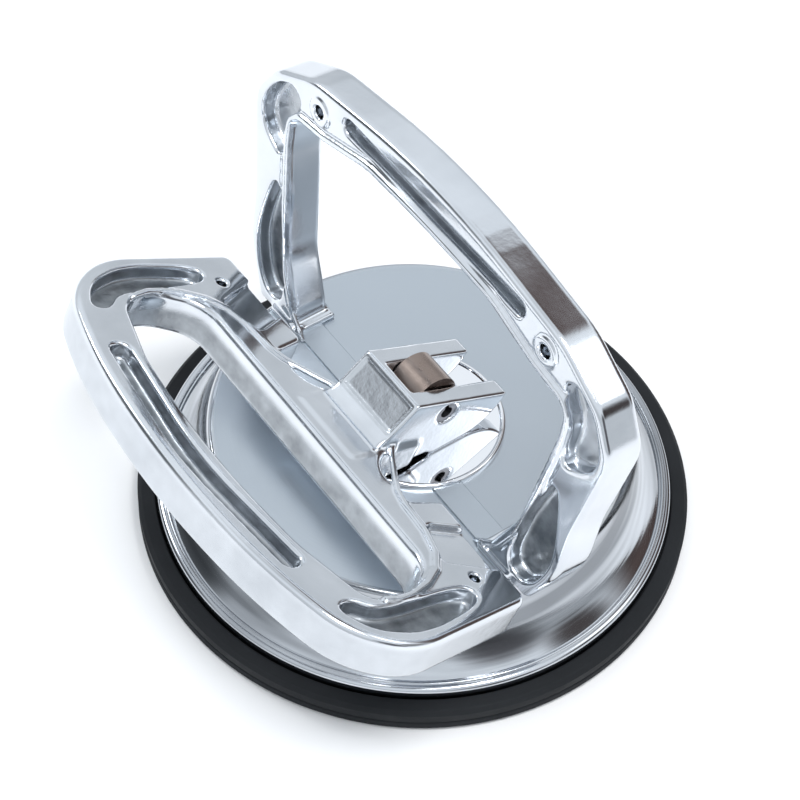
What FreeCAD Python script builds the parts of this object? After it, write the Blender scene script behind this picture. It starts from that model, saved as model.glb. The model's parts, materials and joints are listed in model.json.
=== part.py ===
import FreeCAD, Part
import math
import os

# Single-cup suction lifter for floor tiles.  Millimetres, +Z up.
# The origin is the disc's axis on the floor, X runs along the pivot pin and
# the lever lies on the -Y side.  The parts are drawn in the released state.

# ---- suction pad -----------------------------------------------------------
PAD_R = 60.0            # outer radius of the rubber lip
PAD_SEAT_Z = 5.0        # height at which the disc's rim sits on the rubber
PAD_UPSTAND = 1.2       # rubber collar above the seat, around the rim
PAD_CENTRE_T = 4.5      # rubber under the backing plate
PAD_EDGE = 0.9          # bevels on the lip
PAD_CURB_R = 44.0       # inner end of the sloping shoulder round the plate
GROOVE_RADII = (26.0, 34.0, 42.0, 50.0)
GROOVE_W = 2.0
GROOVE_D = 1.0
RUBBER_GAP = 0.3        # rubber against metal of another body
PAD_SEAT_W = 6.0        # flat that the rim stands on
PLATE_SINK = 0.5        # backing plate's face above the rubber round it

# ---- backing plate, pad stud, nut -------------------------------------------
PAD_PLATE_R = 38.0
PAD_PLATE_T = 2.0
STUD_R = 4.0
STUD_HEAD_R = 8.0
STUD_HEAD_T = 1.6
STUD_LENGTH = 11.0      # above the backing plate
LOCK_NUT_AF = 13.0
LOCK_NUT_T = 3.0

# ---- disc ---------------------------------------------------------------------
RIM_R = 56.0
RIM_H = 2.4             # straight height of the rolled rim
RIM_BEAD = 1.2
FLARE_FOOT_R = 53.4     # where the flare leaves the rim
DISC_TOP_Z = 25.9
TOP_R = 43.4            # flat top
TOP_EDGE = 1.5          # rounding between top and flare
FLARE_TOP_R = 44.9
FLARE_SAG = 1.7         # how far the flare bows inward
DISC_WALL = 2.0
TOP_T = 4.0
HUB_R = 13.0
HUB_H = 5.0             # below the underside of the top
RAIL_Y = (-8.4, -2.2)   # low rails between the feet
RAIL_H = 0.5
RAIL_X = 14.6           # inner end of the rails, under the wear disc

# ---- lift rod, bush and wear disc -------------------------------------------
ROD_R = 6.0
ROD_NECK_Z = 22.0       # the flats start here
ROD_FLAT_X = 4.2        # half thickness between the flats
ROD_EYE_R = 5.4
BUSH_WALL = 2.5
BUSH_COLLAR = 1.6
BUSH_COLLAR_R = 12.0
RUN_FIT = 0.05          # radial clearance of running fits
WEAR_R = 18.3
WEAR_T = 0.8
WEAR_BEAD_W = 1.2
WEAR_BEAD_H = 0.5
WEAR_PLAY = 0.1         # around the wear disc
WEAR_BORE_PLAY = 0.4    # between the wear disc and the rod

# ---- return spring ------------------------------------------------------------
SPRING_R = 16.5
SPRING_WIRE_R = 0.8
SPRING_TURNS = 3.5
SPRING_SECTIONS = 12    # cross-sections per turn that the coil is skinned over
SPRING_SEAT_GAP = 0.1

# ---- cam and pivot --------------------------------------------------------------
PIN_R = 2.5
PIN_BORE_R = 1.4
PIN_SLIT = 1.0
PIN_RECESS = 0.4        # pin ends lie below the prong sides
CAM_LOW = 11.1          # pin centre above the wear disc, released
CAM_LIFT = 4.5          # lift of the pad when the lever is closed
CAM_SWING = 58.0        # degrees from released to closed
CAM_GAP = 0.1
CAM_TIP = 3.0           # flat of the end face beyond the nose
CAM_HEEL_Y = -3.5
HEEL_RUN = 1.5          # length of the slope behind the heel
NECK_BEVEL = 2.5        # lower outer edge of the neck, in from the ring's back
NECK_CLEAR = 1.2        # underside of the neck above the wear disc
NOSE_STEPS = 8
FORK_HALF = 9.0         # half width over the prongs
FORK_SLOT = 4.5         # half width of the slot
SLOT_ROOT_Y = -6.3

# ---- lever ring: u across, v along the ring from the pin -------------------------
LEVER_TILT = 24.5       # above horizontal when released
LEVER_FACE = 7.0        # front face to the pin's plane
LEVER_T = 9.4
LEVER_BASE_V = 11.0     # lower edge of the feet
LEVER_NOTCH_V = 19.0    # lower edge of the base bar beside the neck
LEVER_BAR_V = 27.3      # upper edge of the base bar
LEVER_FOOT_U = 53.5
LEVER_SIDE_U = 57.6
LEVER_SIDE_V = 43.5
LEVER_TOP_V = 65.0
LEVER_BAR_W = 10.8      # width of the grip bar at its middle
NECK_U = 9.5
NOTCH_U = 23.0
WEB_D = 1.8             # open recess across each foot
FOOT_HOLE_U = 45.2
FOOT_HOLE_V = 18.8
NECK_BLOCK = (-13.7, 8.2)     # outer edge of the bare panel, y and z from the pin
NECK_RIDGE = (-8.7, 12.5)     # ridge between panel and fork
PANEL_DEPTH = 0.4
PANEL_BORDER = 1.1

# ---- fixed handle: u across, v up from the disc's top ------------------------------
HANDLE_LEAN = 6.0       # degrees away from the lever
HANDLE_FRONT_Y = -8.5   # front face at the foot
HANDLE_T = 8.8
HANDLE_FOOT_U = 48.5
HANDLE_WAIST_U = 54.2
HANDLE_SIDE_U = 58.4
HANDLE_SIDE_V = 51.5
HANDLE_TOP_V = 73.5
HANDLE_BAR_W = 12.6
HANDLE_SLOT_V = 65.0
HANDLE_SLOT_HALF = 27.0
HANDLE_BOSS_U = 36.5
HANDLE_BOSS_V = 62.1
HANDLE_BOSS_R = 3.2
HANDLE_LEG_W = 13.5
HANDLE_INSTEP_U = 35.5  # inner side of the foot
PLINTH_U = 33.0
PLINTH_H = 1.6
PLINTH_LEDGE = 0.8

# ---- shared casting details -------------------------------------------------------
EDGE_R = 1.0            # rounding of the castings' edges
SLOT_ROUND = 0.98       # rounding of a slot's ends, as a share of half its width
SIDE_USE = 0.99         # share of an outline's side that its roundings may take
IN_PLANE = 1e-4         # how far off a plane an edge may lie and count as in it
POCKET_D = 3.8
HANDLE_SLOT_W = 4.0
BOSS_RISE = 0.5
BOSS_HOLE_R = 1.5
BOSS_HOLE_D = 4.5
FOOT_HOLE_R = 1.1
FAR = 100.0             # reach of cutting tools beyond the part

# ---- handle screws ------------------------------------------------------------------
SCREW_U = 39.0
SCREW_R = 2.0
SCREW_AF = 7.0
SCREW_HEAD_T = 2.8
SCREW_GRIP = 6.5        # thread inside the foot
WASHER_R = 3.6
WASHER_T = 0.8
HOLE_PLAY = 0.25

# ---- outlines: corners (u, v, rounding), right half, from the bottom up -----------------
LEVER_OUTLINE = [
    (NECK_U, LEVER_BASE_V - 6.0, 0), (NECK_U, LEVER_NOTCH_V, 7.5),
    (NOTCH_U, LEVER_NOTCH_V, 1.5), (NOTCH_U + 2.0, LEVER_BASE_V, 1.5),
    (LEVER_FOOT_U, LEVER_BASE_V, 2.5), (LEVER_SIDE_U, LEVER_SIDE_V, 12.0),
    (LEVER_SIDE_U - 7.6, LEVER_TOP_V - 9.5, 14.0), (LEVER_SIDE_U - 27.6, LEVER_TOP_V - 2.8, 40.0),
    (0, LEVER_TOP_V, 150.0),
]
LEVER_OPENING = [
    (LEVER_SIDE_U - 18.1, LEVER_BAR_V, 8.0), (LEVER_SIDE_U - 12.6, LEVER_SIDE_V - 6.0, 12.0),
    (LEVER_SIDE_U - 14.1, LEVER_SIDE_V + 2.0, 6.0), (LEVER_SIDE_U - 30.6, LEVER_TOP_V - 14.2, 30.0),
    (0, LEVER_TOP_V - LEVER_BAR_W, 150.0),
]
LEVER_SLOT = [
    (0, LEVER_TOP_V - 8.0, 80.0), (32.0, LEVER_TOP_V - 12.2, 2.2),
    (32.0, LEVER_TOP_V - 7.6, 2.2), (0, LEVER_TOP_V - 3.4, 80.0),
]
LEVER_KIDNEY = [
    (LEVER_SIDE_U - 11.7, 22.6, 1.8), (LEVER_SIDE_U - 6.8, 21.4, 1.8),
    (LEVER_SIDE_U - 3.4, 39.0, 9.0), (LEVER_SIDE_U - 7.0, 49.6, 8.0),
    (LEVER_SIDE_U - 14.0, 54.0, 1.5), (LEVER_SIDE_U - 15.2, 50.2, 1.5),
    (LEVER_SIDE_U - 10.7, 45.0, 5.0),
]
LEVER_WEB = [
    (34.3, LEVER_BASE_V - 3.0, 0), (46.3, LEVER_BASE_V - 3.0, 0),
    (39.6, LEVER_BAR_V - 4.7, 1.5), (29.6, LEVER_BAR_V - 7.7, 1.5),
]
HANDLE_OUTLINE = [
    (HANDLE_FOOT_U - 2.0, -4.0, 0), (HANDLE_WAIST_U, 13.0, 22.0),
    (HANDLE_WAIST_U + 0.4, 27.0, 40.0), (HANDLE_SIDE_U, HANDLE_SIDE_V, 9.0),
    (HANDLE_SIDE_U - 5.9, HANDLE_TOP_V - 12.9, 8.0), (HANDLE_SIDE_U - 18.4, HANDLE_TOP_V - 6.2, 20.0),
    (0, HANDLE_TOP_V, 150.0),
]
HANDLE_OPENING = [
    (HANDLE_INSTEP_U - 1.0, -6.0, 0), (HANDLE_INSTEP_U, 5.0, 8.0),
    (HANDLE_WAIST_U - HANDLE_LEG_W, 17.0, 20.0), (HANDLE_SIDE_U - 13.8, 46.0, 40.0),
    (HANDLE_SIDE_U - 13.7, 54.4, 3.5), (HANDLE_SIDE_U - 24.0, 55.9, 8.0),
    (20.0, HANDLE_TOP_V - HANDLE_BAR_W - 0.9, 20.0), (0, HANDLE_TOP_V - HANDLE_BAR_W, 150.0),
]
HANDLE_KIDNEY = [
    (HANDLE_SIDE_U - 11.8, 40.2, 0.8), (HANDLE_SIDE_U - 4.1, 44.6, 4.0),
    (HANDLE_SIDE_U - 2.9, 50.8, 5.0), (HANDLE_SIDE_U - 6.6, 58.2, 6.0),
    (HANDLE_SIDE_U - 12.2, 61.6, 3.0), (HANDLE_SIDE_U - 15.4, 59.6, 1.5),
    (HANDLE_SIDE_U - 14.8, 56.4, 3.0), (HANDLE_SIDE_U - 11.2, 52.0, 4.0),
]
HANDLE_LEAF = [
    (HANDLE_WAIST_U - 8.2, 3.5, 1.5), (HANDLE_WAIST_U - 3.6, 9.0, 3.0),
    (HANDLE_WAIST_U - 2.6, 19.0, 8.0), (HANDLE_WAIST_U - 6.0, 35.0, 1.0),
    (HANDLE_WAIST_U - 11.4, 20.0, 8.0), (HANDLE_WAIST_U - 13.2, 5.0, 1.2),
]

UP = FreeCAD.Vector(0, 0, 1)
ACROSS = FreeCAD.Vector(1, 0, 0)

UNDERSIDE_Z = DISC_TOP_Z - TOP_T
PLATE_TOP_Z = PAD_CENTRE_T + PAD_PLATE_T
WEAR_TOP_Z = DISC_TOP_Z + WEAR_T
PIN_Z = WEAR_TOP_Z + CAM_GAP + CAM_LOW
SWING = math.radians(CAM_SWING)
CAM_RATE = CAM_LIFT / SWING
SCREW_Y = HANDLE_FRONT_Y + HANDLE_T / 2


def vec(x, y, z):
    return FreeCAD.Vector(x, y, z)


def cylinder(radius, low, high, x=0.0, y=0.0):
    return Part.makeCylinder(radius, high - low, vec(x, y, low))


def ring(outer, inner, low, high, x=0.0, y=0.0):
    return cylinder(outer, low, high, x, y).cut(cylinder(inner, low - 1, high + 1, x, y))


def hexagon(across_flats, low, high, x=0.0, y=0.0):
    corner = across_flats / math.sqrt(3)
    turns = [math.radians(30 + 60 * i) for i in range(7)]
    points = [vec(x + corner * math.cos(t), y + corner * math.sin(t), low) for t in turns]
    return Part.Face(Part.makePolygon(points)).extrude(UP * (high - low))


def box(low, high):
    size = [b - a for a, b in zip(low, high)]
    return Part.makeBox(*size, vec(*low))


def revolve(edges):
    return Part.Face(Part.Wire(edges)).revolve(vec(0, 0, 0), UP, 360)


def path(points):
    """Line and arc edges in the XZ plane: an (x, z) pair ends a line, and a
    pair of pairs is an arc through the first to the second."""
    edges = []
    here = points[0]
    for step in points[1:]:
        if isinstance(step[0], tuple):
            through, there = step
            spots = [vec(x, 0, z) for x, z in (here, through, there)]
            edges.append(Part.Arc(*spots).toShape())
        else:
            there = step
            edges.append(Part.makeLine(vec(here[0], 0, here[1]), vec(there[0], 0, there[1])))
        here = there
    return edges


def rounded(corners):
    """Closed outline in the XZ plane from (x, z, radius) corners.  Two roundings
    that meet on a side too short for them are cut down to it."""
    spots = [vec(x, 0, z) for x, z, radius in corners]
    count = len(corners)
    turns = []
    for i in range(count):
        to_last = (spots[i - 1] - spots[i]).normalize()
        to_next = (spots[(i + 1) % count] - spots[i]).normalize()
        turns.append((to_last, to_next, to_last.getAngle(to_next) / 2))
    setbacks = [corner[2] / math.tan(turn[2]) for corner, turn in zip(corners, turns)]
    fit = [1.0] * count
    for i in range(count):
        j = (i + 1) % count
        room = SIDE_USE * (spots[j] - spots[i]).Length
        needed = setbacks[i] + setbacks[j]
        if needed > room:
            fit[i] = min(fit[i], room / needed)
            fit[j] = min(fit[j], room / needed)
    ends = []
    for i, (to_last, to_next, half) in enumerate(turns):
        radius = corners[i][2] * fit[i]
        setback = setbacks[i] * fit[i]
        nearest = None
        if radius > 0:
            middle = (to_last + to_next).normalize()
            nearest = spots[i] + middle * (radius / math.sin(half) - radius)
        ends.append((spots[i] + to_last * setback, nearest, spots[i] + to_next * setback))
    edges = []
    for i, (start, nearest, end) in enumerate(ends):
        if nearest is not None:
            edges.append(Part.Arc(start, nearest, end).toShape())
        edges.append(Part.makeLine(end, ends[(i + 1) % count][0]))
    return Part.Face(Part.Wire(edges))


def mirrored(right):
    """Corners of a symmetric outline from its right half, listed bottom to top."""
    left = [(-x, z, radius) for x, z, radius in reversed(right) if x > 0]
    return right + left


def slab(outline, front, back):
    """The outline as a plate between two planes of Y."""
    plate = outline.copy()
    plate.translate(vec(0, back, 0))
    return plate.extrude(vec(0, front - back, 0))


def sides(shape):
    """The shape and its mirror image across the YZ plane."""
    return [shape, shape.mirror(vec(0, 0, 0), ACROSS)]


def round_faces(solid, planes):
    """Rounds the edges that lie whole in one of the planes of Y."""
    edges = []
    for edge in solid.Edges:
        bounds = edge.BoundBox
        if any(max(abs(bounds.YMin - y), abs(bounds.YMax - y)) < IN_PLANE for y in planes):
            edges.append(edge)
    return solid.makeFillet(EDGE_R, edges)


def pocket_pair(outline, front, back, depth=POCKET_D):
    """Cutters that sink the outline into both faces of a plate, front above back."""
    return [slab(outline, front + 1, front - depth), slab(outline, back + depth, back - 1)]


def straight_slot(half_length, v, width):
    r = width / 2
    right = [(half_length + r, v - r, r * SLOT_ROUND), (half_length + r, v + r, r * SLOT_ROUND)]
    return rounded(mirrored(right))


# ---- pad and what is bonded to it -----------------------------------------------

def suction_pad():
    collar_z = PAD_SEAT_Z + PAD_UPSTAND
    rim = RIM_R + RUBBER_GAP
    plate = PAD_PLATE_R + RUBBER_GAP
    head = STUD_HEAD_R + RUBBER_GAP
    floor_z = PAD_CENTRE_T - STUD_HEAD_T
    shoulder_z = PLATE_TOP_Z - PLATE_SINK
    pad = revolve(path([
        (0, 0), (PAD_R - PAD_EDGE, 0), (PAD_R, PAD_EDGE), (PAD_R, collar_z - PAD_EDGE),
        (PAD_R - PAD_EDGE, collar_z), (rim, collar_z), (rim, PAD_SEAT_Z),
        (rim - PAD_SEAT_W, PAD_SEAT_Z), (PAD_CURB_R, shoulder_z), (plate, shoulder_z),
        (plate, PAD_CENTRE_T), (head, PAD_CENTRE_T), (head, floor_z), (0, floor_z), (0, 0),
    ]))
    for radius in GROOVE_RADII:
        pad = pad.cut(ring(radius + GROOVE_W / 2, radius - GROOVE_W / 2, -1, GROOVE_D))
    return pad


def pad_plate():
    return ring(PAD_PLATE_R, STUD_R, PAD_CENTRE_T, PLATE_TOP_Z)


def pad_stud():
    head = cylinder(STUD_HEAD_R, PAD_CENTRE_T - STUD_HEAD_T, PAD_CENTRE_T)
    return head.fuse(cylinder(STUD_R, PAD_CENTRE_T, PLATE_TOP_Z + STUD_LENGTH)).removeSplitter()


def lock_nut():
    top = PLATE_TOP_Z + LOCK_NUT_T
    blank = hexagon(LOCK_NUT_AF, PLATE_TOP_Z, top)
    return blank.cut(cylinder(STUD_R, PLATE_TOP_Z - 1, top + 1))


# ---- disc and what is fitted in it -----------------------------------------------

def flare(offset):
    """The flare's arc, moved inward by an offset, from its foot to its top."""
    foot = (FLARE_FOOT_R - offset, PAD_SEAT_Z + RIM_H + RIM_BEAD)
    top = (FLARE_TOP_R - offset, DISC_TOP_Z - TOP_EDGE)
    run = foot[0] - top[0]
    rise = top[1] - foot[1]
    slant = math.hypot(run, rise)
    middle = (
        (foot[0] + top[0]) / 2 - FLARE_SAG * rise / slant,
        (foot[1] + top[1]) / 2 - FLARE_SAG * run / slant,
    )
    return foot, middle, top


def body_disc():
    foot, middle, top = flare(0)
    in_foot, in_middle, in_top = flare(DISC_WALL)
    rim_z = PAD_SEAT_Z + RIM_H
    bead_z = rim_z + RIM_BEAD
    hub_z = UNDERSIDE_Z - HUB_H
    round_off = TOP_EDGE * math.sqrt(0.5)
    shell = revolve(path([
        (in_foot[0], PAD_SEAT_Z), (RIM_R, PAD_SEAT_Z), (RIM_R, rim_z),
        ((RIM_R - RIM_BEAD * 0.3, rim_z + RIM_BEAD * 0.7), (RIM_R - RIM_BEAD, bead_z)),
        foot, (middle, top),
        ((TOP_R + round_off, DISC_TOP_Z - TOP_EDGE + round_off), (TOP_R, DISC_TOP_Z)),
        (0, DISC_TOP_Z), (0, hub_z), (HUB_R, hub_z), (HUB_R, UNDERSIDE_Z),
        (in_top[0], UNDERSIDE_Z), (in_middle, in_foot), (in_foot[0], PAD_SEAT_Z),
    ]))
    bore = cylinder(ROD_R + BUSH_WALL, hub_z - 1, DISC_TOP_Z + 1)
    shell = shell.cut(bore)
    rail_end = PLINTH_U - WEAR_PLAY
    rail = box((RAIL_X, RAIL_Y[0], DISC_TOP_Z - 1), (rail_end, RAIL_Y[1], DISC_TOP_Z + RAIL_H))
    rail = rail.cut(cylinder(WEAR_R + WEAR_PLAY, 0, FAR))
    for piece in sides(rail):
        shell = shell.fuse(piece)
    for x in (-SCREW_U, SCREW_U):
        shell = shell.cut(cylinder(SCREW_R + HOLE_PLAY, UNDERSIDE_Z - 1, DISC_TOP_Z + 1, x, SCREW_Y))
    return shell.removeSplitter()


def guide_bush():
    hub_z = UNDERSIDE_Z - HUB_H
    tube = ring(ROD_R + BUSH_WALL, ROD_R + RUN_FIT, hub_z, DISC_TOP_Z)
    collar = ring(BUSH_COLLAR_R, ROD_R + RUN_FIT, hub_z - BUSH_COLLAR, hub_z)
    return tube.fuse(collar).removeSplitter()


def wear_disc():
    disc = ring(WEAR_R, ROD_R + WEAR_BORE_PLAY, DISC_TOP_Z, WEAR_TOP_Z)
    bead_r = WEAR_R - WEAR_BEAD_W
    bead = revolve(path([
        (bead_r, WEAR_TOP_Z), (WEAR_R, WEAR_TOP_Z),
        (((bead_r + WEAR_R) / 2, WEAR_TOP_Z + WEAR_BEAD_H), (bead_r, WEAR_TOP_Z)),
    ]))
    return disc.fuse(bead).removeSplitter()


def return_spring():
    low = PLATE_TOP_Z + SPRING_WIRE_R + SPRING_SEAT_GAP
    high = UNDERSIDE_Z - SPRING_WIRE_R - SPRING_SEAT_GAP
    height = high - low
    slope = math.atan2(height / SPRING_TURNS, 2 * math.pi * SPRING_R)
    along = vec(0, math.cos(slope), math.sin(slope))
    wire = Part.Wire([Part.Circle(vec(SPRING_R, 0, low), along, SPRING_WIRE_R).toShape()])
    count = round(SPRING_TURNS * SPRING_SECTIONS)
    sections = []
    for i in range(count + 1):
        section = wire.copy()
        section.rotate(vec(0, 0, 0), UP, 360 * SPRING_TURNS * i / count)
        section.translate(UP * (height * i / count))
        sections.append(section)
    return Part.makeLoft(sections, True)


# ---- lift rod and pin ---------------------------------------------------------------

def lift_rod():
    low = PLATE_TOP_Z + LOCK_NUT_T
    rod = cylinder(ROD_R, low, ROD_NECK_Z)
    tongue = box((-ROD_FLAT_X, -ROD_EYE_R, ROD_NECK_Z), (ROD_FLAT_X, ROD_EYE_R, PIN_Z))
    tongue = tongue.common(cylinder(ROD_R, ROD_NECK_Z, PIN_Z))
    eye = Part.makeCylinder(ROD_EYE_R, 2 * ROD_FLAT_X, vec(-ROD_FLAT_X, 0, PIN_Z), ACROSS)
    pin_hole = Part.makeCylinder(PIN_R + RUN_FIT, 4 * ROD_R, vec(-2 * ROD_R, 0, PIN_Z), ACROSS)
    thread = cylinder(STUD_R, low - 1, PLATE_TOP_Z + STUD_LENGTH)
    return rod.fuse([tongue, eye]).removeSplitter().cut(pin_hole.fuse(thread))


def cross_pin():
    half = FORK_HALF - PIN_RECESS
    start = vec(-half, 0, PIN_Z)
    tube = Part.makeCylinder(PIN_R, 2 * half, start, ACROSS)
    tube = tube.cut(Part.makeCylinder(PIN_BORE_R, 2 * half, start, ACROSS))
    slit = box((-half - 1, -PIN_SLIT / 2, PIN_Z), (half + 1, PIN_SLIT / 2, PIN_Z + 2 * PIN_R))
    return tube.cut(slit)


# ---- lever ----------------------------------------------------------------------------

def nose_point(turn):
    """Point of the cam, in the released lever's plane, that touches the wear
    disc after a turn: it makes the lift the same for every degree."""
    height = CAM_LOW + CAM_RATE * turn
    y = CAM_RATE * math.cos(turn) + height * math.sin(turn)
    z = CAM_RATE * math.sin(turn) - height * math.cos(turn)
    return y, z


def fork():
    """Neck, panel and the two prongs, with the pin at the origin."""
    tilt = math.radians(LEVER_TILT)

    def on_ring(v, depth):
        y = -v * math.cos(tilt) - depth * math.sin(tilt)
        z = v * math.sin(tilt) - depth * math.cos(tilt)
        return vec(0, y, z)

    nose = [nose_point(SWING * i / NOSE_STEPS) for i in range(NOSE_STEPS + 1)]
    curve = Part.BSplineCurve()
    curve.interpolate([vec(0, y, z) for y, z in nose])
    end_y, end_z = nose[-1]
    tip = vec(0, end_y + CAM_TIP * math.cos(SWING), end_z + CAM_TIP * math.sin(SWING))
    under = LEVER_FACE + LEVER_T
    inside_v = (LEVER_NOTCH_V + LEVER_BAR_V) / 2
    outline = [
        vec(0, end_y, end_z), tip, vec(0, *NECK_RIDGE), vec(0, *NECK_BLOCK),
        on_ring(inside_v, LEVER_FACE + EDGE_R / 2), on_ring(inside_v, under - EDGE_R / 2),
        on_ring(LEVER_BASE_V, under - NECK_BEVEL), vec(0, CAM_HEEL_Y - HEEL_RUN, -CAM_LOW + NECK_CLEAR),
        vec(0, CAM_HEEL_Y, -CAM_LOW), vec(0, nose[0][0], nose[0][1]),
    ]
    edges = [Part.makeLine(a, b) for a, b in zip(outline, outline[1:])]
    side = Part.Face(Part.Wire(edges + [curve.toShape()]))
    side.translate(ACROSS * -FORK_HALF)
    solid = side.extrude(ACROSS * 2 * FORK_HALF)
    slot = box((-FORK_SLOT, SLOT_ROOT_Y, -FAR), (FORK_SLOT, FAR, FAR))
    solid = solid.cut(slot)
    return solid.cut(panel_recess())


def panel_recess():
    """Shallow bare panel sunk in the sloping face between block and ridge."""
    low_y, low_z = NECK_BLOCK
    high_y, high_z = NECK_RIDGE
    length = math.hypot(high_y - low_y, high_z - low_z)
    along = math.degrees(math.atan2(high_z - low_z, high_y - low_y))
    tool = box(
        (-FORK_HALF + PANEL_BORDER, PANEL_BORDER, -PANEL_DEPTH),
        (FORK_HALF - PANEL_BORDER, length - PANEL_BORDER, 3),
    )
    tool.rotate(vec(0, 0, 0), ACROSS, along)
    tool.translate(vec(0, low_y, low_z))
    return tool


def lever_ring():
    """The grip ring standing upright, with the pin at the origin."""
    front = -LEVER_FACE
    back = front - LEVER_T
    opening = slab(rounded(mirrored(LEVER_OPENING)), front + 1, back - 1)
    body = slab(rounded(mirrored(LEVER_OUTLINE)), front, back).cut(opening)
    body = round_faces(body, (front, back))
    cutters = pocket_pair(rounded(mirrored(LEVER_SLOT)), front, back)
    for cutter in pocket_pair(rounded(LEVER_KIDNEY), front, back):
        cutters += sides(cutter)
    cutters += sides(slab(rounded(LEVER_WEB), front + 1, front - WEB_D))
    hole = Part.makeCylinder(
        FOOT_HOLE_R, FAR, vec(FOOT_HOLE_U, front - BOSS_HOLE_D, FOOT_HOLE_V), vec(0, 1, 0)
    )
    return body.cut(cutters[0].fuse(cutters[1:] + sides(hole)))


def operating_lever():
    grip = lever_ring()
    grip.rotate(vec(0, 0, 0), ACROSS, 90 - LEVER_TILT)
    grip = grip.cut(box((-NOTCH_U, -WEAR_R, -FAR), (NOTCH_U, FAR, -CAM_LOW + NECK_CLEAR)))
    lever = grip.fuse(fork()).removeSplitter()
    lever = lever.cut(Part.makeCylinder(PIN_R, 4 * FORK_HALF, vec(-2 * FORK_HALF, 0, 0), ACROSS))
    lever.translate(vec(0, 0, PIN_Z))
    return lever


# ---- fixed handle -----------------------------------------------------------------------

def fixed_handle():
    outline = slab(rounded(mirrored(HANDLE_OUTLINE)), 0, HANDLE_T)
    opening = slab(rounded(mirrored(HANDLE_OPENING)), -1, HANDLE_T + 1)
    body = round_faces(outline.cut(opening), (0, HANDLE_T))
    slot = straight_slot(HANDLE_SLOT_HALF, HANDLE_SLOT_V, HANDLE_SLOT_W)
    cutters = pocket_pair(slot, HANDLE_T, 0)
    for pocket in (HANDLE_KIDNEY, HANDLE_LEAF):
        for cutter in pocket_pair(rounded(pocket), HANDLE_T, 0):
            cutters += sides(cutter)
    body = body.cut(cutters[0].fuse(cutters[1:]))
    place = vec(HANDLE_BOSS_U, -BOSS_RISE, HANDLE_BOSS_V)
    raised = Part.makeCylinder(HANDLE_BOSS_R, 2 * BOSS_RISE, place, vec(0, 1, 0))
    hole = Part.makeCylinder(BOSS_HOLE_R, BOSS_HOLE_D, place, vec(0, 1, 0))
    body = body.fuse(sides(raised)).removeSplitter()
    body = body.cut(hole.fuse(hole.mirror(vec(0, 0, 0), ACROSS)))
    body.rotate(vec(0, 0, 0), ACROSS, -HANDLE_LEAN)
    body.translate(vec(0, HANDLE_FRONT_Y, DISC_TOP_Z))
    body = body.cut(box((-FAR, -FAR, -FAR), (FAR, FAR, DISC_TOP_Z)))
    plinth = box(
        (PLINTH_U, HANDLE_FRONT_Y - PLINTH_LEDGE, DISC_TOP_Z),
        (FAR, HANDLE_FRONT_Y + HANDLE_T + PLINTH_LEDGE, DISC_TOP_Z + PLINTH_H),
    )
    plinth = plinth.common(cylinder(TOP_R, 0, FAR))
    body = body.fuse(sides(plinth)).removeSplitter()
    for x in (-SCREW_U, SCREW_U):
        thread = cylinder(SCREW_R, DISC_TOP_Z - 1, DISC_TOP_Z + SCREW_GRIP + HOLE_PLAY, x, SCREW_Y)
        body = body.cut(thread)
    return body


# ---- fasteners -----------------------------------------------------------------------------

def screw_washers():
    high = UNDERSIDE_Z
    low = high - WASHER_T
    hole = SCREW_R + HOLE_PLAY
    return Part.makeCompound([ring(WASHER_R, hole, low, high, x, SCREW_Y) for x in (-SCREW_U, SCREW_U)])


def handle_screws():
    seat = UNDERSIDE_Z - WASHER_T
    screws = []
    for x in (-SCREW_U, SCREW_U):
        head = hexagon(SCREW_AF, seat - SCREW_HEAD_T, seat, x, SCREW_Y)
        shank = cylinder(SCREW_R, seat, DISC_TOP_Z + SCREW_GRIP, x, SCREW_Y)
        screws.append(head.fuse(shank).removeSplitter())
    return Part.makeCompound(screws)


PARTS = {
    "suction_pad": suction_pad,
    "pad_plate": pad_plate,
    "pad_stud": pad_stud,
    "lock_nut": lock_nut,
    "body_disc": body_disc,
    "guide_bush": guide_bush,
    "wear_disc": wear_disc,
    "return_spring": return_spring,
    "lift_rod": lift_rod,
    "cross_pin": cross_pin,
    "operating_lever": operating_lever,
    "fixed_handle": fixed_handle,
    "screw_washers": screw_washers,
    "handle_screws": handle_screws,
}

os.makedirs("parts", exist_ok=True)
for name, build in PARTS.items():
    build().exportStep(f"parts/{name}.step")
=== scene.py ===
import json
import math

import bpy
import numpy as np
from mathutils import Matrix, Vector


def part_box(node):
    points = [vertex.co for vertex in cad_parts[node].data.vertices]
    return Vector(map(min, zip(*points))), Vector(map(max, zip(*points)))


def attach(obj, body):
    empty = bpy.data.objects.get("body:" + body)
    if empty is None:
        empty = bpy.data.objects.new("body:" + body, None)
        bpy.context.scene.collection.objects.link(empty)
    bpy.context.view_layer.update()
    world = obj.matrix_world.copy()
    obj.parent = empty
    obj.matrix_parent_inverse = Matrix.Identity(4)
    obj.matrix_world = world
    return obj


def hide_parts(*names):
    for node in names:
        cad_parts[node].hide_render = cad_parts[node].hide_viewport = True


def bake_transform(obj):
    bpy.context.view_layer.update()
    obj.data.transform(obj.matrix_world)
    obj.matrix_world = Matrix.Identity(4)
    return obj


# Floor tile suction lifter: castings skinned from distance fields, turned
# pieces from profiles, and procedural metal and rubber.  Shapes are worked
# out in millimetres and written to the meshes in metres.

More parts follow.
